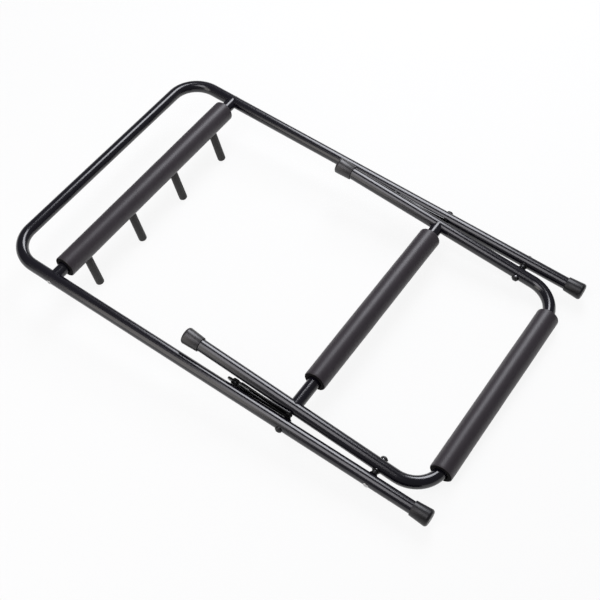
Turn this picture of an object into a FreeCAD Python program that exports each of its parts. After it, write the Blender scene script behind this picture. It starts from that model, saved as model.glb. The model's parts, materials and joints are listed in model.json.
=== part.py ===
import FreeCAD, Part
import math
import os

from FreeCAD import Placement, Rotation, Vector

# A folding rack for several guitars, folded flat and lying on the floor, pegs down.
# Lengths are in millimetres and angles in degrees.
# Right is +X, the top of the tall back frame points to +Y, and the floor is the plane Z = 0.

# Tube stock of both frames and both crossbars
tube_diameter = 20.0
tube_wall = 1.2

# Back frame: its length and pivot are measured up from the soles, and the neck rest down from the closed end
back_leg_spacing = 466.0
back_length = 773.5
back_bend_radius = 50.0
pivot_height = 100.5
neck_rest_drop = 92.0

# Cradle frame, measured along its legs from the pivot
leg_gap = 7.8
cradle_foot_reach = 345.8
cradle_end_reach = 75.9
cradle_bend_radius = 50.0

# Folding brace: both frames carry its pivots at one distance from the main pivot
brace_reach = 148.4
folded_angle = 3.75
use_angle = 78.0
link_difference = 0.36
link_width = 12.0
link_thickness = 1.8
tail_width = 9.0
tail_reach = 15.5
channel_sheet = 1.2
channel_bend_radius = 2.0
channel_depth = 7.5
channel_rise = 7.5
channel_neck = 4.5
channel_shoulder = 5.0
channel_shoulder_setback = 8.5
channel_lobe_radius = 7.2
channel_knee_setback = 20.0
channel_overrun = 3.0
knee_rivet_diameter = 5.0
knee_head_diameter = 8.5
brace_bolt_diameter = 5.0
brace_head_diameter = 11.0
brace_head_rim = 1.5
brace_head_dome = 2.6
brace_nut_width = 8.0
brace_nut_thickness = 1.8
brace_washer_diameter = 9.0
brace_shoulder_diameter = 6.8
brace_screw_head_diameter = 8.0
brace_screw_head_height = 1.2

# Main pivot
pivot_bolt_diameter = 6.0
pivot_head_diameter = 9.0
pivot_head_height = 1.7
pivot_bush_wall = 1.5
pivot_spacer_diameter = 10.0
pivot_washer_diameter = 13.0
pivot_washer_thickness = 0.8
cap_nut_width = 10.0
cap_nut_hex_height = 3.0
cap_nut_dome_height = 2.4
cap_nut_crown = 1.2

# Crossbar screws, and the threaded plugs inside the bar ends
bar_screw_diameter = 5.0
bar_head_diameter = 8.0
bar_head_height = 1.4
bar_screw_bite = 14.0
bar_plug_length = 18.0

# Foam sleeves
foam_diameter = 36.4
foam_edge_radius = 2.5
neck_foam_bare_left = 15.3
neck_foam_bare_right = 17.0
bar_foam_bare_left = 42.4
bar_foam_bare_right = 18.7
end_foam_overlap = 8.5

# Neck pegs
peg_count = 4
peg_spacing = 109.0
peg_lean = 20.3
peg_length = 75.8
peg_rod_diameter = 8.0
peg_rod_start = 3.0
peg_sleeve_diameter = 13.9
peg_tip_radius = 3.5
peg_tip_wall = 4.0

# Rubber feet
foot_length = 29.2
foot_mouth_wall = 1.8
foot_flare = 1.9
foot_sole_thickness = 5.0
foot_sole_radius = 4.5
foot_mouth_radius = 0.6

# Fits
push_fit = 0.1
running_fit = 0.05
flat_play = 0.1
channel_play = 0.5
link_play = 0.3
notch_play = 1.0
pivot_play = 0.3
sleeve_fit = 0.25
drill_fit = 0.25

# Sizes that follow from the ones above
tube_radius = tube_diameter / 2
bore_radius = tube_radius - tube_wall
foam_radius = foam_diameter / 2
back_leg_x = back_leg_spacing / 2
back_inside_x = back_leg_x - tube_radius
back_outside_x = back_leg_x + tube_radius
neck_rest_height = back_length - neck_rest_drop
cradle_outside_x = back_inside_x - leg_gap
cradle_leg_x = cradle_outside_x - tube_radius
cradle_inside_x = cradle_leg_x - tube_radius
gap_middle_x = back_inside_x - leg_gap / 2
straight_brace = 2 * brace_reach * math.sin(math.radians(use_angle / 2))
channel_length = (straight_brace - link_difference) / 2
flat_length = (straight_brace + link_difference) / 2
channel_inner_x = cradle_outside_x + channel_play
channel_outer_x = back_inside_x - channel_play
channel_inner_face = channel_inner_x + channel_sheet
channel_outer_face = channel_outer_x - channel_sheet
link_inner_x = channel_inner_face + link_play
link_outer_x = link_inner_x + link_thickness
foot_mouth_outer = tube_radius + foot_mouth_wall
foot_sole_outer = foot_mouth_outer + foot_flare
foot_flat_radius = foot_sole_outer - foot_sole_radius

x_axis = Vector(1, 0, 0)
y_axis = Vector(0, 1, 0)
origin = Vector(0, 0, 0)


def corner_angle(near, far, span):
    """Angle of a triangle between its side near and its side span; far is the third side."""
    cosine = (near ** 2 + span ** 2 - far ** 2) / (2 * near * span)
    return math.degrees(math.acos(max(-1.0, min(1.0, cosine))))


def channel_angle(opening):
    """Direction of the channel link, against the back legs, when the frames stand open by the given angle."""
    span = 2 * brace_reach * math.sin(math.radians(opening / 2))
    return 90 + opening / 2 - corner_angle(channel_length, flat_length, span)


def flat_angle(opening):
    """Direction of the flat link, against the back legs, at the same opening."""
    span = 2 * brace_reach * math.sin(math.radians(opening / 2))
    return opening / 2 - 90 + corner_angle(flat_length, channel_length, span)


def turn_about_x(angle, y=0.0, z=0.0):
    return Placement(Vector(0, y, z), Rotation(x_axis, angle))


def resting_place():
    """Lays the back frame on the floor, on the closed-end foam and on the four peg tips."""
    fold = math.radians(folded_angle)
    lean = math.radians(peg_lean)
    foam_y = pivot_height - cradle_end_reach * math.cos(fold)
    foam_z = -cradle_end_reach * math.sin(fold)
    along = peg_length - peg_tip_radius
    aside = peg_sleeve_diameter / 2 - peg_tip_radius
    tip_y = neck_rest_height - along * math.sin(lean) + aside * math.cos(lean)
    tip_z = -along * math.cos(lean) - aside * math.sin(lean)
    span = math.hypot(tip_y - foam_y, tip_z - foam_z)
    slope = math.atan2(tip_z - foam_z, tip_y - foam_y)
    tilt = math.asin((peg_tip_radius - foam_radius) / span) - slope
    lift = foam_radius - foam_y * math.sin(tilt) - foam_z * math.cos(tilt)
    lowest_y = foot_sole_radius * (math.cos(tilt) - 1) - foot_flat_radius * math.sin(tilt)
    highest_y = back_length * math.cos(tilt) + tube_radius
    return turn_about_x(math.degrees(tilt), -(lowest_y + highest_y) / 2, lift)


back_place = resting_place()
cradle_place = back_place * turn_about_x(folded_angle, pivot_height)
back_bolt_place = back_place * turn_about_x(0, pivot_height + brace_reach)
cradle_bolt_place = cradle_place * turn_about_x(0, brace_reach)
back_link_place = back_bolt_place * turn_about_x(channel_angle(folded_angle))
cradle_link_place = cradle_bolt_place * turn_about_x(flat_angle(folded_angle) - folded_angle)

nodes = {}


def add(name, shape, place):
    shape.Placement = place * shape.Placement
    nodes[name] = shape


def mirrored(shape):
    return shape.mirror(origin, x_axis)


def add_sides(name, shape, place):
    """A right-hand piece and its mirror image, as two nodes."""
    add(name + "_left", mirrored(shape), place)
    add(name + "_right", shape, place)


def add_pair(name, solids, place):
    """Right-hand fasteners and their mirror images, as one node of separate solids."""
    add(name, Part.makeCompound([mirrored(solid) for solid in solids] + solids), place)


def bar_along_x(radius, x_from, x_to, y=0.0):
    low = min(x_from, x_to)
    return Part.makeCylinder(radius, abs(x_to - x_from), Vector(low, y, 0), x_axis)


def ring_along_x(outer_radius, inner_radius, x_from, x_to, y=0.0):
    return bar_along_x(outer_radius, x_from, x_to, y).cut(bar_along_x(inner_radius, x_from, x_to, y))


def hex_along_x(width, x_from, x_to):
    corner = width / math.sqrt(3)
    turns = [math.radians(60 * k) for k in range(7)]
    points = [Vector(x_from, corner * math.cos(a), corner * math.sin(a)) for a in turns]
    return Part.Face(Part.makePolygon(points)).extrude(Vector(x_to - x_from, 0, 0))


def dome_along_x(radius, height, x_seat, side):
    """A round head of the given height whose flat seat is at x_seat; it bulges towards side."""
    ball_radius = (radius ** 2 + height ** 2) / (2 * height)
    ball_x = x_seat + side * (height - ball_radius)
    ball = Part.makeSphere(ball_radius, Vector(ball_x, 0, 0))
    return ball.common(bar_along_x(radius, x_seat, x_seat + side * height))


def u_tube(radius, leg_x, leg_end, bar_y, bend):
    """A bar of the given radius along a U: leg, bend, closed end at bar_y, bend, leg."""
    turn = math.copysign(bend, bar_y - leg_end)
    slack = bend * (1 - math.sqrt(0.5))
    half = leg_x - bend
    legs = [Vector(side * leg_x, leg_end, 0) for side in (-1, 1)]
    starts = [Vector(side * leg_x, bar_y - turn, 0) for side in (-1, 1)]
    middles = [Vector(side * (leg_x - slack), bar_y - math.copysign(slack, turn), 0) for side in (-1, 1)]
    ends = [Vector(side * half, bar_y, 0) for side in (-1, 1)]
    path = Part.Wire([
        Part.LineSegment(legs[0], starts[0]).toShape(),
        Part.Arc(starts[0], middles[0], ends[0]).toShape(),
        Part.LineSegment(ends[0], ends[1]).toShape(),
        Part.Arc(ends[1], middles[1], starts[1]).toShape(),
        Part.LineSegment(starts[1], legs[1]).toShape(),
    ])
    section = Part.Face(Part.Wire(Part.makeCircle(radius, legs[0], y_axis)))
    return path.makePipe(section)


def drilled(shape, radius, y, x_from, x_to):
    """Cuts a hole along X on the right-hand side, and its mirror image."""
    hole = bar_along_x(radius, x_from, x_to, y)
    return shape.cut(hole).cut(mirrored(hole))


def rubber_foot(sole_y, inward):
    """A flared rubber cap on a tube end, turned about the leg; inward is +1 or -1 along Y."""
    def at(radius, depth):
        return Vector(radius, sole_y + inward * depth, 0)

    bore = tube_radius + push_fit
    sole_slack = foot_sole_radius * (1 - math.sqrt(0.5))
    mouth_slack = foot_mouth_radius * (1 - math.sqrt(0.5))
    mouth_edge = foot_mouth_outer - foot_mouth_radius
    outline = Part.Wire([
        Part.LineSegment(at(0, 0), at(foot_flat_radius, 0)).toShape(),
        Part.Arc(at(foot_flat_radius, 0), at(foot_sole_outer - sole_slack, sole_slack),
                 at(foot_sole_outer, foot_sole_radius)).toShape(),
        Part.LineSegment(at(foot_sole_outer, foot_sole_radius),
                         at(foot_mouth_outer, foot_length - foot_mouth_radius)).toShape(),
        Part.Arc(at(foot_mouth_outer, foot_length - foot_mouth_radius),
                 at(foot_mouth_outer - mouth_slack, foot_length - mouth_slack),
                 at(mouth_edge, foot_length)).toShape(),
        Part.LineSegment(at(mouth_edge, foot_length), at(bore, foot_length)).toShape(),
        Part.LineSegment(at(bore, foot_length), at(bore, foot_sole_thickness)).toShape(),
        Part.LineSegment(at(bore, foot_sole_thickness), at(0, foot_sole_thickness)).toShape(),
        Part.LineSegment(at(0, foot_sole_thickness), at(0, 0)).toShape(),
    ])
    return Part.Face(outline).revolve(origin, y_axis, 360)


def foam_sleeve(x_from, x_to, y):
    sleeve = bar_along_x(foam_radius, x_from, x_to, y)
    rims = [edge for edge in sleeve.Edges if edge.Curve.TypeId == "Part::GeomCircle"]
    return sleeve.makeFillet(foam_edge_radius, rims)


def crossbar(leg_x, inside_x, y):
    """A bare tube between two legs, its ends hollowed to sit on the round legs."""
    reach = (inside_x + leg_x) / 2
    bar = ring_along_x(tube_radius, bore_radius, -reach, reach, y)
    for side in (-1, 1):
        bar = bar.cut(Part.makeCylinder(tube_radius + push_fit, 4 * tube_diameter,
                                        Vector(side * leg_x, y - 2 * tube_diameter, 0), y_axis))
    return bar


def bar_plug(inside_x, y):
    """A threaded plug pressed into the end of a crossbar."""
    outer_end = inside_x - push_fit
    return ring_along_x(bore_radius - push_fit / 2, bar_screw_diameter / 2 + running_fit,
                        outer_end - bar_plug_length, outer_end, y)


def flat_link():
    """The flat link, from its screw at the origin to the knee along +Y: a bar with round ends.

    A narrower tail runs on past the knee. It lies inside the channel when the brace is straight.
    """
    half = link_width / 2
    tail = tail_width / 2
    tail_end = flat_length + tail_reach - tail
    link = Part.makeBox(link_thickness, flat_length, link_width, Vector(link_inner_x, 0, -half))
    link = link.multiFuse([
        bar_along_x(half, link_inner_x, link_outer_x),
        bar_along_x(half, link_inner_x, link_outer_x, flat_length),
        Part.makeBox(link_thickness, tail_end - flat_length, tail_width,
                     Vector(link_inner_x, flat_length, -tail)),
        bar_along_x(tail, link_inner_x, link_outer_x, tail_end),
    ])
    screw_hole = bar_screw_diameter / 2 + running_fit
    knee_hole = knee_rivet_diameter / 2 + running_fit
    link = link.cut(bar_along_x(screw_hole, link_inner_x, link_outer_x))
    link = link.cut(bar_along_x(knee_hole, link_inner_x, link_outer_x, flat_length))
    return link.removeSplitter()


def rounded_bar(x_from, x_to, y_from, y_to, z_from, z_to, radius):
    """A long box along Y whose two lower edges are rounded."""
    box = Part.makeBox(x_to - x_from, y_to - y_from, z_to - z_from, Vector(x_from, y_from, z_from))
    long_edges = [edge for edge in box.Edges
                  if edge.BoundBox.YLength > edge.BoundBox.XLength + edge.BoundBox.ZLength]
    return box.makeFillet(radius, [edge for edge in long_edges if edge.CenterOfMass.z < (z_from + z_to) / 2])


def channel_link():
    """The channel link, from its bolt at the origin to the knee along +Y.

    Folded sheet, open towards the cradle frame: the flat link lies inside it when the brace is folded.
    Its web stops short of the knee, where the tail of the flat link swings through.
    A notch in its inner side clears the screw of the folded flat link.
    """
    web_end = channel_length - channel_knee_setback
    shoulder_end = channel_length - channel_shoulder_setback
    trough = rounded_bar(channel_inner_x, channel_outer_x, -channel_overrun, web_end,
                         -channel_depth, channel_rise, channel_bend_radius)
    trough = trough.cut(rounded_bar(channel_inner_face, channel_outer_face, -channel_overrun, web_end,
                                    channel_sheet - channel_depth, channel_rise,
                                    channel_bend_radius - channel_sheet))
    added = [bar_along_x(channel_rise, channel_outer_face, channel_outer_x)]
    for x in (channel_inner_x, channel_outer_face):
        added.append(Part.makeBox(channel_sheet, shoulder_end - web_end, channel_neck + channel_rise,
                                  Vector(x, web_end, -channel_neck)))
        added.append(Part.makeBox(channel_sheet, channel_shoulder_setback, channel_neck + channel_shoulder,
                                  Vector(x, shoulder_end, -channel_neck)))
        added.append(bar_along_x(channel_lobe_radius, x, x + channel_sheet, channel_length))
    link = trough.multiFuse(added)
    crossing = math.radians(channel_angle(folded_angle) - flat_angle(folded_angle))
    screw_y = channel_length - flat_length * math.cos(crossing)
    screw_z = flat_length * math.sin(crossing)
    link = link.cut(Part.makeCylinder(brace_shoulder_diameter / 2 + notch_play, channel_sheet,
                                      Vector(channel_inner_x, screw_y, screw_z), x_axis))
    link = link.cut(bar_along_x(brace_bolt_diameter / 2 + running_fit, channel_outer_face, channel_outer_x))
    link = link.cut(bar_along_x(knee_rivet_diameter / 2 + running_fit, channel_inner_x, channel_outer_x,
                                channel_length))
    return link.removeSplitter()


def knee_rivet():
    """A shouldered rivet through both sides of the channel and through the flat link between them."""
    head = knee_head_diameter / 2
    rivet_end_in = channel_inner_x - channel_play / 2
    rivet_end_out = channel_outer_x + channel_play / 2
    rivet = bar_along_x(knee_rivet_diameter / 2, rivet_end_in, rivet_end_out, channel_length)
    return rivet.multiFuse([
        bar_along_x(head, rivet_end_in, channel_inner_x, channel_length),
        bar_along_x(head, channel_inner_face, link_inner_x - flat_play, channel_length),
        bar_along_x(head, link_outer_x + flat_play, channel_outer_face, channel_length),
        bar_along_x(head, channel_outer_x, rivet_end_out, channel_length),
    ]).removeSplitter()


# Back frame tube: a tall U, drilled for the pivots, the brace bolts and the neck-rest screws
tube_start = foot_sole_thickness + push_fit
back_tube = u_tube(tube_radius, back_leg_x, tube_start, back_length, back_bend_radius)
back_tube = back_tube.cut(u_tube(bore_radius, back_leg_x, tube_start, back_length, back_bend_radius))
through_back = (back_inside_x - push_fit, back_outside_x + push_fit)
back_tube = drilled(back_tube, pivot_bolt_diameter / 2 + drill_fit, pivot_height, *through_back)
back_tube = drilled(back_tube, brace_bolt_diameter / 2 + drill_fit, pivot_height + brace_reach, *through_back)
back_tube = drilled(back_tube, bar_screw_diameter / 2 + drill_fit, neck_rest_height, *through_back)
add("back_frame_tube", back_tube, back_place)

foot = rubber_foot(0, 1)
foot.translate(Vector(back_leg_x, 0, 0))
add_sides("back_foot", foot, back_place)

# Neck rest: crossbar, end plugs, screws, foam and pegs
peg_turn = turn_about_x(-peg_lean, neck_rest_height)
peg_places = [(k - (peg_count - 1) / 2) * peg_spacing for k in range(peg_count)]


def peg_bar(radius, x, near, far):
    """A round bar along a peg's axis, between two distances from the crossbar's axis."""
    bar = Part.makeCylinder(radius, far - near, Vector(x, 0, -far))
    bar.Placement = peg_turn * bar.Placement
    return bar


neck_bar = crossbar(back_leg_x, back_inside_x, neck_rest_height)
neck_foam_left = neck_foam_bare_left - back_inside_x
neck_foam_right = back_inside_x - neck_foam_bare_right
neck_foam = foam_sleeve(neck_foam_left, neck_foam_right, neck_rest_height)
sleeve_start = tube_radius + sleeve_fit
neck_foam = neck_foam.cut(bar_along_x(sleeve_start, neck_foam_left, neck_foam_right, neck_rest_height))
for number, x in enumerate(peg_places, 1):
    neck_bar = neck_bar.cut(peg_bar(peg_rod_diameter / 2 + running_fit, x, 0, tube_diameter))
    neck_foam = neck_foam.cut(peg_bar(peg_sleeve_diameter / 2 + sleeve_fit, x, 0, foam_diameter))
    rod_end = peg_length - peg_tip_wall
    add("neck_peg_rod_%d" % number, peg_bar(peg_rod_diameter / 2, x, peg_rod_start, rod_end), back_place)
    sleeve = Part.makeCylinder(peg_sleeve_diameter / 2, peg_length - sleeve_start, Vector(x, 0, -peg_length))
    tip_edge = min(sleeve.Edges, key=lambda edge: edge.BoundBox.ZMax)
    sleeve = sleeve.makeFillet(peg_tip_radius, [tip_edge])
    sleeve.Placement = peg_turn * sleeve.Placement
    sleeve = sleeve.cut(peg_bar(peg_rod_diameter / 2 + running_fit, x, sleeve_start, rod_end))
    add("neck_peg_sleeve_%d" % number, sleeve, back_place)
add("neck_rest_bar", neck_bar, back_place)
add("neck_rest_foam", neck_foam, back_place)
add_pair("neck_rest_plugs", [bar_plug(back_inside_x, neck_rest_height)], back_place)
neck_screw = dome_along_x(bar_head_diameter / 2, bar_head_height, back_outside_x, 1)
screw_tip = back_inside_x - bar_screw_bite
neck_screw = neck_screw.fuse(bar_along_x(bar_screw_diameter / 2, screw_tip, back_outside_x))
neck_screw.translate(Vector(0, neck_rest_height, 0))
add_pair("neck_rest_screws", [neck_screw], back_place)

# Main pivot: bolt, washers and spacer between the legs, cap nut inside the cradle leg
pivot_seat = back_place * turn_about_x(0, pivot_height)
cap_nut_seat = cradle_inside_x - pivot_play
bolt_tip = cap_nut_seat - cap_nut_hex_height - cap_nut_dome_height + 2 * cap_nut_crown
pivot_radius = pivot_bolt_diameter / 2
pivot_bolt = dome_along_x(pivot_head_diameter / 2, pivot_head_height, back_outside_x, 1)
pivot_bolt = pivot_bolt.fuse(bar_along_x(pivot_radius, bolt_tip, back_outside_x))
add_sides("pivot_bolt", pivot_bolt, pivot_seat)
spacer_from = back_inside_x - pivot_washer_thickness
spacer_to = cradle_outside_x + pivot_play + pivot_washer_thickness
spacer_bore = pivot_radius + running_fit
pivot_spacer = ring_along_x(pivot_spacer_diameter / 2, spacer_bore, spacer_from, spacer_to)
add_sides("pivot_spacer", pivot_spacer, pivot_seat)
washer_radius = pivot_washer_diameter / 2
outer_washer = ring_along_x(washer_radius, spacer_bore, spacer_from, back_inside_x)
inner_washer = ring_along_x(washer_radius, spacer_bore, spacer_to - pivot_washer_thickness, spacer_to)
add_pair("pivot_washers", [outer_washer, inner_washer], pivot_seat)
hex_end = cap_nut_seat - cap_nut_hex_height
cap_nut = hex_along_x(cap_nut_width, cap_nut_seat, hex_end)
cap_nut = cap_nut.fuse(dome_along_x(cap_nut_width / 2 - push_fit, cap_nut_dome_height, hex_end, -1))
cap_nut = cap_nut.cut(bar_along_x(spacer_bore, bolt_tip - running_fit, cap_nut_seat))
add_sides("pivot_cap_nut", cap_nut, pivot_seat)

# Brace bolts on the back frame: bolt through each leg, washer inside it, thin nut inside the channel link
brace_radius = brace_bolt_diameter / 2
brace_bore = brace_radius + running_fit
nut_from = channel_outer_face - flat_play
nut_to = nut_from - brace_nut_thickness
head_radius = brace_head_diameter / 2
rim_end = back_outside_x + brace_head_rim
brace_head = bar_along_x(head_radius, back_leg_x, rim_end)
brace_head = brace_head.cut(Part.makeCylinder(tube_radius + running_fit, 2 * brace_head_diameter,
                                              Vector(back_leg_x, -brace_head_diameter, 0), y_axis))
brace_bolt = brace_head.multiFuse([
    dome_along_x(head_radius, brace_head_dome, rim_end, 1),
    bar_along_x(brace_radius, nut_to, rim_end),
])
add_sides("brace_bolt", brace_bolt.removeSplitter(), back_bolt_place)
brace_nut = hex_along_x(brace_nut_width, nut_from, nut_to).cut(bar_along_x(brace_bore, nut_from, nut_to))
add_pair("brace_nuts", [brace_nut], back_bolt_place)
brace_washer = ring_along_x(brace_washer_diameter / 2, brace_bore, channel_outer_x + flat_play, back_inside_x)
add_pair("brace_washers", [brace_washer], back_bolt_place)

# Cradle frame tube: a shorter U inside the back frame, drilled for the pivot bushes and the bar screws
cradle_tube_end = cradle_foot_reach - tube_start
cradle_tube = u_tube(tube_radius, cradle_leg_x, cradle_tube_end, -cradle_end_reach, cradle_bend_radius)
cradle_tube = cradle_tube.cut(
    u_tube(bore_radius, cradle_leg_x, cradle_tube_end, -cradle_end_reach, cradle_bend_radius))
bush_radius = pivot_radius + running_fit + pivot_bush_wall
through_cradle = (cradle_inside_x - push_fit, cradle_outside_x + push_fit)
cradle_tube = drilled(cradle_tube, bush_radius + running_fit, 0, *through_cradle)
cradle_tube = drilled(cradle_tube, bar_screw_diameter / 2 + drill_fit, brace_reach, *through_cradle)
add("cradle_frame_tube", cradle_tube, cradle_place)
pivot_bush = ring_along_x(bush_radius, pivot_radius + running_fit, cradle_inside_x, cradle_outside_x)
add_sides("cradle_pivot_bush", pivot_bush, cradle_place)

foot = rubber_foot(cradle_foot_reach, -1)
foot.translate(Vector(cradle_leg_x, 0, 0))
add_sides("cradle_foot", foot, cradle_place)

# Cradle padding: a foam sleeve on the closed end and one on the crossbar, where the guitars sit
end_foam_end = cradle_leg_x - cradle_bend_radius + end_foam_overlap
end_foam = foam_sleeve(-end_foam_end, end_foam_end, -cradle_end_reach)
end_foam = end_foam.cut(u_tube(tube_radius + sleeve_fit, cradle_leg_x, cradle_tube_end,
                               -cradle_end_reach, cradle_bend_radius))
add("cradle_end_foam", end_foam, cradle_place)
add("cradle_bar", crossbar(cradle_leg_x, cradle_inside_x, brace_reach), cradle_place)
bar_foam_left = bar_foam_bare_left - cradle_inside_x
bar_foam_right = cradle_inside_x - bar_foam_bare_right
bar_foam = foam_sleeve(bar_foam_left, bar_foam_right, brace_reach)
bar_foam = bar_foam.cut(bar_along_x(tube_radius + sleeve_fit, bar_foam_left, bar_foam_right, brace_reach))
add("cradle_bar_foam", bar_foam, cradle_place)
add_pair("cradle_bar_plugs", [bar_plug(cradle_inside_x, brace_reach)], cradle_place)

# Studs hold the crossbar to the cradle legs, and carry the brace's screws in line with them
bar_stud = bar_along_x(bar_screw_diameter / 2, cradle_inside_x - bar_screw_bite, cradle_outside_x)
add_sides("cradle_bar_stud", bar_stud, cradle_bolt_place)

# Folding brace: channel link on the back leg, knee rivet, flat link to the cradle leg, shouldered screw
add_sides("back_brace_link", channel_link(), back_link_place)
add_sides("brace_knee_rivet", knee_rivet(), back_link_place)
add_sides("cradle_brace_link", flat_link(), cradle_link_place)
brace_screw = bar_along_x(brace_shoulder_diameter / 2, cradle_outside_x + channel_play / 2, link_inner_x)
brace_screw = brace_screw.multiFuse([
    bar_along_x(bar_screw_diameter / 2, link_inner_x, link_outer_x),
    bar_along_x(brace_screw_head_diameter / 2, link_outer_x, link_outer_x + brace_screw_head_height),
])
add_sides("cradle_brace_screw", brace_screw.removeSplitter(), cradle_link_place)

os.makedirs("parts", exist_ok=True)
for name, shape in nodes.items():
    shape.exportStep("parts/" + name + ".step")

knee_place = back_link_place * turn_about_x(0, channel_length)
for label, place in (("pivot", pivot_seat), ("brace bolt", back_bolt_place), ("knee", knee_place)):
    print("%s axis at y %.3f z %.3f" % (label, place.Base.y, place.Base.z))
fold = use_angle - folded_angle
swing = channel_angle(use_angle) - channel_angle(folded_angle)
knee_turn = swing - flat_angle(use_angle) + flat_angle(folded_angle)
print("fold %.3f, channel link swings %.3f, knee opens %.3f" % (fold, swing, knee_turn))
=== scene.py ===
import json
import math

import bmesh
import bpy
from mathutils import Matrix, Vector, noise


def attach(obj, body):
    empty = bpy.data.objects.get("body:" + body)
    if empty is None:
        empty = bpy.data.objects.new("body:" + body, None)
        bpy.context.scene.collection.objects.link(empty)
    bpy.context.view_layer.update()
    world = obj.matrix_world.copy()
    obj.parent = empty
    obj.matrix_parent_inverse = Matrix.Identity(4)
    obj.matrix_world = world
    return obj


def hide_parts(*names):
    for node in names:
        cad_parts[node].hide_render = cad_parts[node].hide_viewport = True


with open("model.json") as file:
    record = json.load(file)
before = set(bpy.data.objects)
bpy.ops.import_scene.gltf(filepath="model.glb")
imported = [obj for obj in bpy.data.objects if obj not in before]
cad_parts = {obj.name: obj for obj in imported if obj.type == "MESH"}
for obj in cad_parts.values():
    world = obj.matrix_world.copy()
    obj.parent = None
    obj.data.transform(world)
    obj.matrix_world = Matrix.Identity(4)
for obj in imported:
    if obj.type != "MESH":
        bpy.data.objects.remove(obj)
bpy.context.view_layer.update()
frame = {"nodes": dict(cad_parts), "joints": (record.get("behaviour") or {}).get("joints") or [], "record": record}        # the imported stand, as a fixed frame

# Back frame: one length of thin steel tube, bent cold to a tall U and stoved in gloss black enamel.
# Its legs are drilled for the pivots and the screws, and its open ends sit inside the rubber feet.
tube_radius = 0.010
tube_wall = 0.0012
tube_sides = 64
bend_steps = 24
bend_radius = 0.050
back_length = 0.7735
tube_inset = 0.0051
merge_gap = 1e-6
smooth_angle = math.radians(38)
across = Vector((1, 0, 0))
mounts = {mount["name"]: mount for mount in frame["record"]["mounts"]}
joints = {joint["name"]: joint for joint in frame["joints"]}


def lying_place(origin, along):
    """Where a piece that is drawn flat goes: X runs across the stand, and Y along the given direction."""
    turn = Matrix((across, along, across.cross(along))).transposed()
    return Matrix.Translation(origin) @ turn.to_4x4()


def start_piece():
    """Clears the selection, so that the next operators act on their own piece alone."""
    if bpy.context.mode != "OBJECT":
        bpy.ops.object.mode_set(mode="OBJECT")
    bpy.ops.object.select_all(action="DESELECT")


def push(x, y, z):
    """Extrudes what is selected by the given step."""
    bpy.ops.mesh.extrude_region_move(TRANSFORM_OT_translate={"value": (x, y, z)})


def swing(centre, angle):
    """Spins what is selected round a bend, by an angle in degrees."""
    bpy.ops.mesh.spin(steps=bend_steps, angle=math.radians(angle), center=centre, axis=(0, 0, 1))


def face_outwards():
    """Joins the doubled points of the whole mesh and turns its faces outwards."""
    bpy.ops.mesh.select_all(action="SELECT")
    bpy.ops.mesh.remove_doubles(threshold=merge_gap)
    bpy.ops.mesh.normals_make_consistent(inside=False)


def finish_with(piece, kind, **settings):
    """Adds one modifier to the piece and applies it."""
    modifier = piece.modifiers.new(kind.title(), kind)
    for key, value in settings.items():
        setattr(modifier, key, value)
    bpy.context.view_layer.objects.active = piece
    bpy.ops.object.modifier_apply(modifier=modifier.name)


def settle(name, place):
    """Ends the shaping of the active piece: puts its place into its mesh and smooths its round faces."""
    piece = bpy.context.object
    if bpy.context.mode != "OBJECT":
        bpy.ops.object.mode_set(mode="OBJECT")
    piece.name = piece.data.name = name
    piece.matrix_world = place @ piece.matrix_world
    bpy.ops.object.transform_apply(location=True, rotation=True, scale=True)
    bpy.ops.object.shade_smooth_by_angle(angle=smooth_angle)
    return piece


def bent_tube(name, leg_x, leg_end, bar_y, place):
    """A tube along a U: up one leg from leg_end, across at bar_y, and back down the other leg."""
    way = math.copysign(1, bar_y - leg_end)
    bend_y = bar_y - way * bend_radius
    bend_x = leg_x - bend_radius
    start_piece()
    bpy.ops.mesh.primitive_circle_add(vertices=tube_sides, radius=tube_radius, enter_editmode=True,
                                      location=(-leg_x, leg_end, 0), rotation=(math.pi / 2, 0, 0))
    push(0, bend_y - leg_end, 0)
    swing((-bend_x, bend_y, 0), way * 90)
    push(2 * bend_x, 0, 0)
    swing((bend_x, bend_y, 0), way * 90)
    push(0, leg_end - bend_y, 0)
    face_outwards()
    bpy.ops.object.mode_set(mode="OBJECT")
    finish_with(bpy.context.object, "SOLIDIFY", thickness=tube_wall, offset=-1)
    return settle(name, place)


class Wire:
    """A value in a shader. Sums and products of wires, and one minus a wire, become Math nodes."""

    def __init__(self, shader, socket):
        self.shader, self.socket = shader, socket

    def combine(self, operation, first, second):
        return self.shader.node("ShaderNodeMath", {"operation": operation}, {0: first, 1: second})

    def __add__(self, other):
        return self.combine("ADD", self, other)

    def __rsub__(self, other):
        return self.combine("SUBTRACT", other, self)

    def __mul__(self, other):
        return self.combine("MULTIPLY", self, other)

    __radd__, __rmul__ = __add__, __mul__


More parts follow.
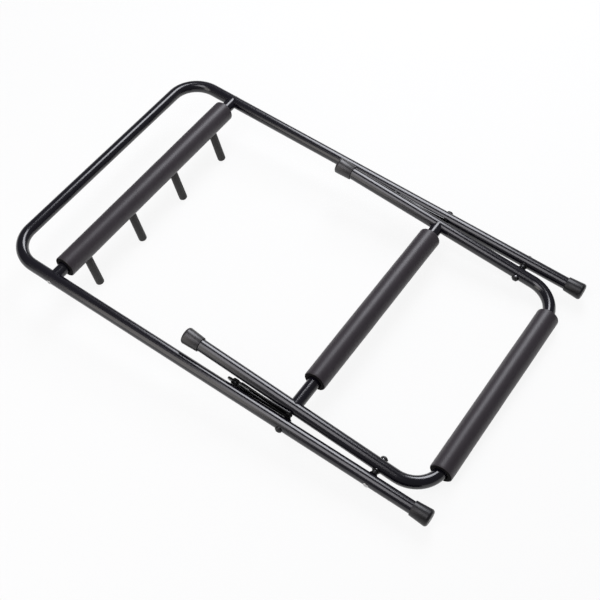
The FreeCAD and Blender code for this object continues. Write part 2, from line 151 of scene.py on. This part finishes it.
class Shader:
    """The nodes of one material or of the world."""

    def __init__(self, tree):
        self.tree = tree

    def node(self, kind, settings, sockets, output=0):
        """Adds a node with its settings and the values or links of its sockets, and gives one output."""
        made = self.tree.nodes.new(kind)
        for key, value in settings.items():
            setattr(made, key, value)
        for key, value in sockets.items():
            self.feed(made.inputs[key], value)
        return Wire(self, made.outputs[output])

    def feed(self, socket, value):
        """Links a wire to a socket, or sets a plain value on it."""
        if isinstance(value, Wire):
            self.tree.links.new(value.socket, socket)
        else:
            socket.default_value = value

    def noise(self, place, scale, detail=2.0, rough=0.5, distortion=0.0):
        return self.node("ShaderNodeTexNoise", {}, {"Vector": place, "Scale": scale, "Detail": detail,
                                                    "Roughness": rough, "Distortion": distortion})

    def step(self, value, low, high):
        """0 below low, 1 above high, and a soft step between them."""
        return self.node("ShaderNodeMapRange", {"interpolation_type": "SMOOTHSTEP"},
                         {"Value": value, "From Min": low, "From Max": high})

    def mix(self, amount, first, second):
        return self.node("ShaderNodeMix", {"data_type": "RGBA"},
                         {0: amount, 6: (*first, 1), 7: (*second, 1)}, output=2)

    def stretch(self, place, scale):
        return self.node("ShaderNodeMapping", {}, {"Vector": place, "Scale": scale})

    def bump(self, height, strength, distance):
        return self.node("ShaderNodeBump", {}, {"Height": height, "Strength": strength, "Distance": distance})


input_names = {"ior": "IOR", "metallic": "Metallic", "specular": "Specular IOR Level"}


def new_finish(name, **constants):
    """A material with its constants set, its nodes, its surface inputs and its Object coordinates."""
    material = bpy.data.materials.new(name)
    material.use_nodes = True
    shader = Shader(material.node_tree)
    surface = material.node_tree.nodes["Principled BSDF"]
    for key, value in constants.items():
        surface.inputs[input_names[key]].default_value = value
    place = shader.node("ShaderNodeTexCoord", {}, {}, output="Object")
    return material, shader, surface.inputs, place


# The enamel is deep black, with a slight orange peel, small drifts in gloss and a few hairline rubs.
deep_black = (0.0045, 0.0038, 0.0078)
thin_black = (0.0070, 0.0061, 0.0110)
rub_grain = (40, 9, 40)
enamel, shader, inputs, place = new_finish("gloss_black_enamel", ior=1.58)
drift = shader.noise(place, scale=14)
rubs = shader.step(shader.noise(shader.stretch(place, rub_grain), scale=11, detail=5, rough=0.62,
                                distortion=0.8), low=0.66, high=0.78)
orange_peel = shader.noise(place, scale=170, detail=1)
shader.feed(inputs["Base Color"], shader.mix(drift, deep_black, thin_black))
shader.feed(inputs["Roughness"], 0.16 + 0.06 * drift + 0.07 * rubs)
shader.feed(inputs["Normal"], shader.bump(orange_peel, strength=0.02, distance=0.0003))


def dress(piece, finish, slot, body, *nodes):
    """Gives a piece its finish, hangs it on the empty of the body it rides on, and hides the solids it stands
    for.
    """
    piece.data.materials.clear()
    piece.data.materials.append(finish)
    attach(piece, body)
    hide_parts(*nodes)


left_sole = mounts["back_sole_left"]
back_leg_x = -left_sole["pos_m"][0]
back_along = -Vector(left_sole["axis"])
back_place = lying_place(Vector((0, *left_sole["pos_m"][1:])), back_along)
back_tube = bent_tube("back_tube", back_leg_x, tube_inset, back_length, back_place)
dress(back_tube, enamel, "black_enamel", "back_frame", "back_frame_tube")

# Cradle frame: the same tube bent to a shorter U that folds inside the back frame on the two pivots.
# Its closed end carries the front padded bar, and its long ends become the front legs.
cradle_end_reach = 0.0759
cradle_sole = mounts["cradle_sole_left"]
cradle_leg_x = -cradle_sole["pos_m"][0]
cradle_along = Vector(cradle_sole["axis"])
pivot = Vector(joints["cradle_fold"]["pos_m"])
cradle_place = lying_place(pivot, cradle_along)
cradle_foot_reach = (Vector((0, *cradle_sole["pos_m"][1:])) - pivot).length
cradle_tube = bent_tube("cradle_tube", cradle_leg_x, cradle_foot_reach - tube_inset, -cradle_end_reach,
                        cradle_place)
dress(cradle_tube, enamel, "black_enamel", "cradle_frame", "cradle_frame_tube")

# Crossbars: two straight lengths of the tube, their ends hollowed to sit against the round legs.
# One joins the back legs and carries the neck rest, and one joins the cradle legs.
neck_height = 0.6815
bar_reach = 0.1484
cope_gap = 0.0001
cope_length = 0.08
start_size = 0.001
along_x = Matrix.Rotation(math.pi / 2, 4, "Y")


def turned(profile, steps=tube_sides):
    """Spins a closed or open line of (radius, height) points about Z, and leaves the piece in edit mode."""
    start_piece()
    bpy.ops.mesh.primitive_plane_add(size=start_size, enter_editmode=True)
    bpy.ops.mesh.merge(type="CENTER")
    radius, height = profile[0]
    bpy.ops.transform.translate(value=(radius, 0, height))
    for next_radius, next_height in profile[1:]:
        push(next_radius - radius, 0, next_height - height)
        radius, height = next_radius, next_height
    bpy.ops.mesh.select_all(action="SELECT")
    bpy.ops.mesh.spin(steps=steps, angle=2 * math.pi, center=(0, 0, 0), axis=(0, 0, 1))
    face_outwards()
    return bpy.context.object


def cut_away(piece, tool):
    """Takes one shape out of another and removes the tool."""
    finish_with(piece, "BOOLEAN", operation="DIFFERENCE", solver="EXACT", object=tool)
    bpy.data.objects.remove(tool)


def round_tool(radius, length, place):
    """A cylinder about the middle of Z, put in place as a cutting tool."""
    start_piece()
    bpy.ops.mesh.primitive_cylinder_add(vertices=tube_sides, radius=radius, depth=length)
    bpy.context.object.matrix_world = place
    return bpy.context.object


def crossbar(name, leg_x, y, place):
    """A length of tube between two legs at the given distance along them."""
    inner = tube_radius - tube_wall
    bar = turned([(inner, -leg_x), (tube_radius, -leg_x), (tube_radius, leg_x), (inner, leg_x),
                  (inner, -leg_x)])
    bpy.ops.object.mode_set(mode="OBJECT")
    bar.matrix_world = Matrix.Translation((0, y, 0)) @ along_x
    for x in (-leg_x, leg_x):
        leg = Matrix.Translation((x, y, 0)) @ Matrix.Rotation(math.pi / 2, 4, "X")
        cut_away(bar, round_tool(tube_radius + cope_gap, cope_length, leg))
    bar.select_set(True)
    return settle(name, place)


neck_bar = crossbar("neck_bar", back_leg_x, neck_height, back_place)
dress(neck_bar, enamel, "black_enamel", "back_frame", "neck_rest_bar")
seat_bar = crossbar("seat_bar", cradle_leg_x, bar_reach, cradle_place)
dress(seat_bar, enamel, "black_enamel", "cradle_frame", "cradle_bar")

# Rubber feet: four moulded caps, flared towards the sole, pushed over the open tube ends.
# A ring is sunk into each sole for grip, and the mouth has a chamfer inside, where the tube slides in.
# The cradle's feet are coloured paler than the back frame's.
foot_length = 0.0292
foot_mouth = 0.0118
foot_sole = 0.0137
foot_floor = 0.005
foot_fit = 0.0001
foot_bore = tube_radius + foot_fit
mouth_chamfer = 0.0011
mouth_depth = 0.0030
mouth_round = 0.0004
sole_round = 0.0045
grip_inner = 0.0048
grip_outer = 0.0062
grip_depth = 0.0008
grip_round = 0.0002
same_place = 1e-5
back_clean = (0.011, 0.0105, 0.012)
back_scuffed = (0.018, 0.017, 0.019)
cradle_clean = (0.029, 0.027, 0.0285)
cradle_scuffed = (0.041, 0.039, 0.040)


def round_over(radius, height, offset, segments):
    """Bevels the ring of edges at the given radius and height of a turned piece in edit mode."""
    mesh = bmesh.from_edit_mesh(bpy.context.object.data)
    bpy.ops.mesh.select_all(action="DESELECT")
    bpy.context.tool_settings.mesh_select_mode = (False, True, False)
    for edge in mesh.edges:
        if all(abs(end.co.z - height) < same_place and abs(end.co.xy.length - radius) < same_place
               for end in edge.verts):
            edge.select_set(True)
    bpy.ops.mesh.bevel(offset=offset, segments=segments, affect="EDGES", clamp_overlap=True)
    bpy.context.tool_settings.mesh_select_mode = (True, False, False)


foot_shape = turned([
    (0, 0), (grip_inner, 0), (grip_inner, grip_depth), (grip_outer, grip_depth), (grip_outer, 0),
    (foot_sole, 0), (foot_mouth, foot_length), (foot_bore + mouth_chamfer, foot_length),
    (foot_bore, foot_length - mouth_depth), (foot_bore, foot_floor), (0, foot_floor),
])
round_over(foot_sole, 0, sole_round, segments=8)
round_over(foot_mouth, foot_length, mouth_round, segments=3)
for ring_radius in (grip_inner, grip_outer):
    round_over(ring_radius, 0, grip_round, segments=2)
foot_shape = settle("foot_shape", Matrix.Identity(4))


def rubber(name, clean, scuffed, gloss):
    """Satin rubber, slightly mottled by the mould, with scuffed patches."""
    finish, shader, inputs, place = new_finish(name, specular=gloss)
    mould = shader.noise(place, scale=160, detail=4)
    scuffs = shader.step(shader.noise(place, scale=70, detail=6, rough=0.65), low=0.52, high=0.72)
    shader.feed(inputs["Base Color"], shader.mix(scuffs, clean, scuffed))
    shader.feed(inputs["Roughness"], 0.30 + 0.08 * mould + 0.12 * scuffs)
    skin = shader.noise(place, scale=1500, detail=3)
    shader.feed(inputs["Normal"], shader.bump(skin, strength=0.12, distance=0.0001))
    return finish


back_rubber = rubber("back_foot_rubber", back_clean, back_scuffed, gloss=0.36)
cradle_rubber = rubber("cradle_foot_rubber", cradle_clean, cradle_scuffed, gloss=0.54)


def copy_of(shape, name, place):
    """A copy of a shape, with a mesh of its own, put in place."""
    piece = bpy.data.objects.new(name, shape.data.copy())
    piece.data.name = name
    bpy.context.scene.collection.objects.link(piece)
    piece.data.transform(place)
    return piece


for side, sign in (("left", -1), ("right", 1)):
    up_leg = (back_place @ Matrix.Translation((sign * back_leg_x, 0, 0))
              @ Matrix.Rotation(-math.pi / 2, 4, "X"))
    dress(copy_of(foot_shape, "back_cap_" + side, up_leg), back_rubber, "foot_rubber", "back_frame",
          "back_foot_" + side)
    down_leg = (cradle_place @ Matrix.Translation((sign * cradle_leg_x, cradle_foot_reach, 0))
                @ Matrix.Rotation(math.pi / 2, 4, "X"))
    dress(copy_of(foot_shape, "cradle_cap_" + side, down_leg), cradle_rubber, "foot_rubber", "cradle_frame",
          "cradle_foot_" + side)
bpy.data.objects.remove(foot_shape)

# Foam sleeves: lengths of closed-cell foam pipe slid over the three padded bars.
# Their ends are cut by hand, so the rims are soft and a little uneven; the cut ends and the bore are painted
# near black, partly for the darker open cells and partly as painted shade.
# The sleeve on the cradle's closed end is pressed a little flat where it lies on the floor.
foam_radius = 0.0182
foam_round = 0.0022
foam_bore = 0.01035
foam_mouth = 0.0112
foam_mouth_depth = 0.012
foam_mouth_round = 0.0006
foam_pitch = 0.004
foam_sides = 96
foam_swell = 0.00022
foam_lumps = (16, 45)
cut_wobble = 0.0006
cut_ripple = 60
cut_reach = 0.006
cut_depth = 0.0006
skin_from = foam_mouth + 0.001
mouth_edge = foam_mouth + 0.0007
floor_contact = 0.0002
neck_bare_left, neck_bare_right = 0.0153, 0.0170
seat_bare_left, seat_bare_right = 0.0424, 0.0187
end_overrun = 0.0085
seed_step = (3.7, 1.9, 5.3)
skin_dark = (0.031, 0.0258, 0.0305)
skin_pale = (0.045, 0.038, 0.044)
# Cut ends and bore: near black, partly the open cells' own tone and partly painted shade.
cell_and_shade_dark = (0.0025, 0.0023, 0.0025)
cell_and_shade_pale = (0.0085, 0.0078, 0.0082)


def foam_sleeve(name, x_from, x_to, y, place, seed):
    """A foam pipe along X, spun from its long section, and then its points worked one by one."""
    length = x_to - x_from
    count = round(length / foam_pitch)
    heights = [length * k / count for k in range(count + 1)]
    bore = [(foam_mouth, length), (foam_bore, length - foam_mouth_depth), (foam_bore, foam_mouth_depth),
            (foam_mouth, 0)]
    sleeve = turned([(foam_radius, height) for height in heights] + bore + [(foam_radius, 0)], foam_sides)
    for radius, width, segments in ((foam_radius, foam_round, 6), (foam_mouth, foam_mouth_round, 2)):
        round_over(radius, 0, width, segments)
        round_over(radius, length, width, segments)
    bpy.ops.object.mode_set(mode="OBJECT")
    offset = Vector([seed * step for step in seed_step])
    cut_faces = sleeve.data.attributes.new("cut_faces", "FLOAT", "POINT")
    for vertex in sleeve.data.vertices:
        spot = vertex.co.copy()
        rim = spot.xy.length
        large, small = (noise.noise(spot * size + offset) for size in foam_lumps)
        if rim > skin_from:
            vertex.co.xy *= 1 + foam_swell * (large + 0.5 * small) / rim
        end = min(spot.z, length - spot.z)
        if end < cut_reach:
            vertex.co.z += cut_wobble * noise.noise(Vector((spot.x, spot.y, 0)) * cut_ripple + offset)
        cut_faces.data[vertex.index].value = float(end < cut_depth or rim < mouth_edge)
    sleeve.matrix_world = Matrix.Translation((x_from, y, 0)) @ along_x
    sleeve = settle(name, place)
    for vertex in sleeve.data.vertices:
        vertex.co.z = max(vertex.co.z, floor_contact)
    return sleeve


# The foam is charcoal with a warm cast, a fine skin of burst cells, and faint patches where it was handled.
foam, shader, inputs, place = new_finish("charcoal_foam", ior=1.45)
cells = shader.node("ShaderNodeTexVoronoi", {}, {"Vector": place, "Scale": 900})
grain = shader.noise(place, scale=2200, detail=3)
patches = shader.noise(place, scale=26, detail=3, rough=0.55)
pores = shader.step(cells, low=0.12, high=0.5)
cut = shader.node("ShaderNodeAttribute", {"attribute_name": "cut_faces"}, {}, output="Fac")
shader.feed(inputs["Base Color"], shader.mix(patches * 0.7 + pores * 0.3, skin_dark, skin_pale))
shader.feed(inputs["Roughness"], 0.35 + 0.08 * patches + 0.05 * grain)
shader.feed(inputs["Normal"], shader.bump(pores + 0.4 * grain, strength=0.22, distance=0.00012))
skin = Wire(shader, foam.node_tree.nodes["Principled BSDF"].outputs["BSDF"])
# The cut ends and the bore get a near-black finish: the open cells are a little darker in fact, and the rest
# is painted shade on these faces.
open_cells_and_painted_shade = shader.node("ShaderNodeBsdfPrincipled", {}, {
    "Base Color": shader.mix(pores, cell_and_shade_dark, cell_and_shade_pale), "Roughness": 0.85, "Specular IOR Level": 0.08,
    "Normal": shader.bump(pores + grain, strength=0.5, distance=0.0003)})
whole = shader.node("ShaderNodeMixShader", {}, {0: cut, 1: skin, 2: open_cells_and_painted_shade})
shader.feed(foam.node_tree.nodes["Material Output"].inputs["Surface"], whole)

back_inside = back_leg_x - tube_radius
cradle_inside = cradle_leg_x - tube_radius
neck_foam = foam_sleeve("neck_foam", neck_bare_left - back_inside, back_inside - neck_bare_right,
                        neck_height, back_place, seed=1)
seat_foam = foam_sleeve("seat_foam", seat_bare_left - cradle_inside, cradle_inside - seat_bare_right,
                        bar_reach, cradle_place, seed=2)
end_half = cradle_leg_x - bend_radius + end_overrun
end_foam = foam_sleeve("end_foam", -end_half, end_half, -cradle_end_reach, cradle_place, seed=3)
for piece, body, node in ((neck_foam, "back_frame", "neck_rest_foam"),
                          (seat_foam, "cradle_frame", "cradle_bar_foam"),
                          (end_foam, "cradle_frame", "cradle_end_foam")):
    dress(piece, foam, "foam", body, node)

# Neck pegs: four steel rods welded to the neck bar, each in a soft black sleeve with a rounded tip.
# They stand out through holes in the foam, leaning back, and keep the guitar necks apart.
peg_lean = 20.3
peg_length = 0.0758
peg_radius = 0.00695
peg_rod = 0.00405
peg_gap = 0.00025
peg_start = tube_radius + peg_gap
peg_spacing = 0.109
peg_count = 4
peg_sides = 48
peg_tip_wall = 0.004
peg_tip_round = 0.0035
peg_hole_gap = 0.0002
peg_hole_length = 0.03
peg_hole_middle = peg_start + 0.016
peg_dark = (0.0205, 0.0195, 0.0185)
peg_pale = (0.032, 0.0305, 0.029)
rod_end = peg_length - peg_tip_wall
peg_shape = turned([(peg_rod, peg_start), (peg_radius, peg_start), (peg_radius, peg_length), (0, peg_length),
                    (0, rod_end), (peg_rod, rod_end), (peg_rod, peg_start)], peg_sides)
round_over(peg_radius, peg_length, peg_tip_round, segments=8)
peg_shape = settle("peg_shape", Matrix.Identity(4))

peg_rubber, shader, inputs, place = new_finish("peg_rubber")
mould = shader.noise(place, scale=240, detail=4, rough=0.6)
shader.feed(inputs["Base Color"], shader.mix(mould, peg_dark, peg_pale))
shader.feed(inputs["Roughness"], 0.56 + 0.14 * mould)
skin = shader.noise(place, scale=1800, detail=3)
shader.feed(inputs["Normal"], shader.bump(skin, strength=0.15, distance=0.0001))

for number in range(1, peg_count + 1):
    x = (number - (peg_count + 1) / 2) * peg_spacing
    out = (back_place @ Matrix.Translation((x, neck_height, 0))
           @ Matrix.Rotation(math.radians(180 - peg_lean), 4, "X"))
    peg = copy_of(peg_shape, "peg_%d" % number, out)
    dress(peg, peg_rubber, "peg_rubber", "back_frame", "neck_peg_sleeve_%d" % number)
    hole = out @ Matrix.Translation((0, 0, peg_hole_middle))
    cut_away(neck_foam, round_tool(peg_radius + peg_hole_gap, peg_hole_length, hole))
bpy.data.objects.remove(peg_shape)

# Screws and bolts: oily black oxide steel, and bright nickel heads on the outside of the legs.
# They hold the bars, the pivots and the braces. Each is worked from its solid, with its edges broken as on
# turned and pressed hardware, and some of the round heads have a cross recess for the driver.
edge_break = 0.00022
recess_depth = 0.0014
recess_width = 0.0009
recess_span = 0.0042
sharp_edge = math.radians(32)
flat_face = math.radians(1)
oxide_dark = (0.012, 0.012, 0.013)
oxide_pale = (0.034, 0.033, 0.034)
nickel_dull = (0.36, 0.36, 0.365)
nickel_clean = (0.52, 0.515, 0.51)
body_of = {node: body for body, names in frame["record"]["behaviour"]["bodies"].items() for node in names}
slot_of = {part["node"]: part["material_slot"] for part in frame["record"]["subparts"]}

hardware, shader, inputs, place = new_finish("black_oxide_steel", metallic=0.55)
blotch = shader.noise(place, scale=300, detail=4, rough=0.6)
shader.feed(inputs["Base Color"], shader.mix(blotch, oxide_dark, oxide_pale))
shader.feed(inputs["Roughness"], 0.34 + 0.16 * blotch)

nickel, shader, inputs, place = new_finish("dull_nickel", metallic=1.0)
blotch = shader.noise(place, scale=420, detail=4, rough=0.6)
shader.feed(inputs["Base Color"], shader.mix(blotch, nickel_dull, nickel_clean))
shader.feed(inputs["Roughness"], 0.22 + 0.16 * blotch)


def softened(node, width):
    """A copy of a solid with its triangles joined to whole faces and its sharp edges broken."""
    start_piece()
    piece = bpy.data.objects.new(node.name + "_look", node.data.copy())
    bpy.context.scene.collection.objects.link(piece)
    piece.data.transform(node.matrix_world)
    piece.select_set(True)
    bpy.context.view_layer.objects.active = piece
    bpy.ops.object.mode_set(mode="EDIT")
    bpy.ops.mesh.select_all(action="SELECT")
    bpy.ops.mesh.remove_doubles(threshold=merge_gap)
    bpy.ops.mesh.dissolve_limited(angle_limit=flat_face)
    bpy.ops.object.mode_set(mode="OBJECT")
    finish_with(piece, "BEVEL", width=width, segments=2, limit_method="ANGLE", angle_limit=sharp_edge,
                use_clamp_overlap=True)
    return settle(piece.name, Matrix.Identity(4))


def cross_recess(piece, y, z, x):
    """Sinks a cross into a round head whose crown is at x."""
    for turn in (0, math.pi / 2):
        start_piece()
        bpy.ops.mesh.primitive_cube_add(size=1)
        tool = bpy.context.object
        tool.matrix_world = (Matrix.Translation((x, y, z)) @ back_turn
                             @ Matrix.Rotation(turn + math.pi / 4, 4, "X")
                             @ Matrix.Diagonal((2 * recess_depth, recess_span, recess_width, 1)))
        cut_away(piece, tool)


back_turn = back_place.to_3x3().to_4x4()
shown = [name for name, node in frame["nodes"].items() if not node.hide_render]
for name in shown:
    node = frame["nodes"][name]
    # The hidden rods, plugs, bushes and studs stay as solids in plain steel.
    if slot_of[name] == "zinc_steel":
        node.data.materials.clear()
        node.data.materials.append(nickel)
    if slot_of[name] not in ("black_hardware", "bright_screw"):
        continue
    piece = softened(node, edge_break)
    dress(piece, nickel if slot_of[name] == "bright_screw" else hardware, slot_of[name], body_of[name], name)
    if name.startswith(("brace_bolt", "neck_rest_screws")):
        for out in (-1, 1):
            head = [point.co.copy() for point in piece.data.vertices if point.co.x * out > back_leg_x]
            if head:
                y, z = ((min(spot[k] for spot in head) + max(spot[k] for spot in head)) / 2 for k in (1, 2))
                cross_recess(piece, y, z, out * max(abs(spot.x) for spot in head))

# Braces: links pressed from sheet steel in satin black paint, riveted together at the knee.
# A folded channel is bolted to each back leg and a flat bar to each cradle leg.
# Each is worked from its solid, and the paint is thinner and greyer along the rubbed faces.
sheet_edge = 0.0003
paint_black = (0.004, 0.004, 0.0045)
paint_rubbed = (0.010, 0.0098, 0.0095)
sheet_grain = (60, 12, 60)
sheet_paint, shader, inputs, place = new_finish("satin_black_paint")
rubbed = shader.step(shader.noise(shader.stretch(place, sheet_grain), scale=10, detail=5, rough=0.6),
                     low=0.5, high=0.75)
shader.feed(inputs["Base Color"], shader.mix(rubbed, paint_black, paint_rubbed))
shader.feed(inputs["Roughness"], 0.26 + 0.10 * rubbed)
ripple = shader.noise(place, scale=220, detail=2)
shader.feed(inputs["Normal"], shader.bump(ripple, strength=0.02, distance=0.0002))
for name in shown:
    if slot_of[name] == "black_sheet":
        dress(softened(frame["nodes"][name], sheet_edge), sheet_paint, "black_sheet", body_of[name], name)

# Stage: a plain white floor that keeps a faint shadow near the stand, and a white studio round it.
# The camera looks through the floor to plain white, and gloss sees that white only below the horizon.
# A large softbox on the right lights the stand, and two weaker ones on the left fill it in.
floor_size = 14
floor_shade = 0.1
floor_fade = (1.0, 2.5)
floor_paint = (0.9, 0.9, 0.9, 1)
plain_white = (1, 1, 1, 1)
studio_low = (0.62, 0.61, 0.60)
studio_high = (0.15, 0.15, 0.155)
horizon = (-0.06, 0.10)


def rays(shader):
    """The rays that come straight from the camera, from gloss and through glass."""
    return [shader.node("ShaderNodeLightPath", {}, {}, output="Is %s Ray" % kind)
            for kind in ("Camera", "Glossy", "Transmission")]


start_piece()
bpy.ops.mesh.primitive_plane_add(size=floor_size)
floor = bpy.context.object
floor.name = "floor"
floor_white = bpy.data.materials.new("floor_white")
floor_white.use_nodes = True
shader = Shader(floor_white.node_tree)
seen, mirrored, refracted = rays(shader)
clear = shader.node("ShaderNodeBsdfTransparent", {}, {})
matte = shader.node("ShaderNodeBsdfDiffuse", {}, {"Color": floor_paint})
spot = shader.node("ShaderNodeTexCoord", {}, {}, output="Object")
away = shader.node("ShaderNodeVectorMath", {"operation": "LENGTH"}, {0: spot}, output="Value")
below = shader.node("ShaderNodeNewGeometry", {}, {}, output="Backfacing")
shade = floor_shade * (1 - shader.step(away, *floor_fade)) * (1 - below)
through = (seen + mirrored + refracted) * (1 - shade)
mixed = shader.node("ShaderNodeMixShader", {}, {0: through, 1: matte, 2: clear})
shader.feed(floor_white.node_tree.nodes["Material Output"].inputs["Surface"], mixed)
floor.data.materials.append(floor_white)

world = bpy.data.worlds.new("studio")
bpy.context.scene.world = world
world.use_nodes = True
shader = Shader(world.node_tree)
seen, mirrored, refracted = rays(shader)
way = shader.node("ShaderNodeTexCoord", {}, {}, output="Generated")
height = shader.node("ShaderNodeSeparateXYZ", {}, {0: way}, output="Z")
ceiling = shader.step(height, *horizon)
straight = seen + (mirrored + refracted) * (1 - ceiling)
white = shader.node("ShaderNodeBackground", {}, {"Color": plain_white, "Strength": 1.0})
around = shader.node("ShaderNodeBackground", {},
                     {"Color": shader.mix(ceiling, studio_low, studio_high), "Strength": 1.0})
sky = shader.node("ShaderNodeMixShader", {}, {0: straight, 1: around, 2: white})
shader.feed(world.node_tree.nodes["World Output"].inputs["Surface"], sky)


def softbox(name, at, width, height, energy, colour):
    """A rectangular studio lamp that faces the stand and is hidden from the camera."""
    lamp = bpy.data.lights.new(name, "AREA")
    lamp.shape = "RECTANGLE"
    lamp.size, lamp.size_y = width, height
    lamp.energy = energy
    lamp.color = colour
    holder = bpy.data.objects.new(name, lamp)
    bpy.context.scene.collection.objects.link(holder)
    holder.location = at
    holder.rotation_euler = (-Vector(at)).to_track_quat("-Z", "Y").to_euler()
    holder.visible_camera = False


softbox("right_softbox", (1.36, 0.34, 1.60), width=0.85, height=1.35, energy=33, colour=(0.93, 0.94, 1.0))
softbox("left_softbox", (-0.85, 0.08, 1.87), width=0.80, height=1.30, energy=12.0, colour=(0.97, 0.95, 1.0))
softbox("left_panel", (-1.43, 0.54, 0.70), width=0.65, height=1.40, energy=6.4, colour=(1.0, 0.96, 0.92))

# Camera: a long lens at the photograph's viewing angle, looking down on the stand.
# Its place was found from the tube axes, bar ends, feet and pegs, and then from the edges of the outline.
camera_at = Vector((-0.876951, -0.654451, 1.456337))
looking = Vector((0.477963, 0.351128, -0.805146))
upwards = Vector((0.670195, 0.446739, 0.592675))
lens = bpy.data.cameras.new("camera")
lens.lens = 68.04
lens.sensor_width = 36
lens.dof.use_dof = False
camera = bpy.data.objects.new("camera", lens)
bpy.context.scene.collection.objects.link(camera)
turn = Matrix((looking.cross(upwards), upwards, -looking)).transposed()
camera.matrix_world = Matrix.Translation(camera_at) @ turn.to_4x4()
bpy.context.scene.camera = camera
bpy.context.scene.view_settings.view_transform = "Standard"
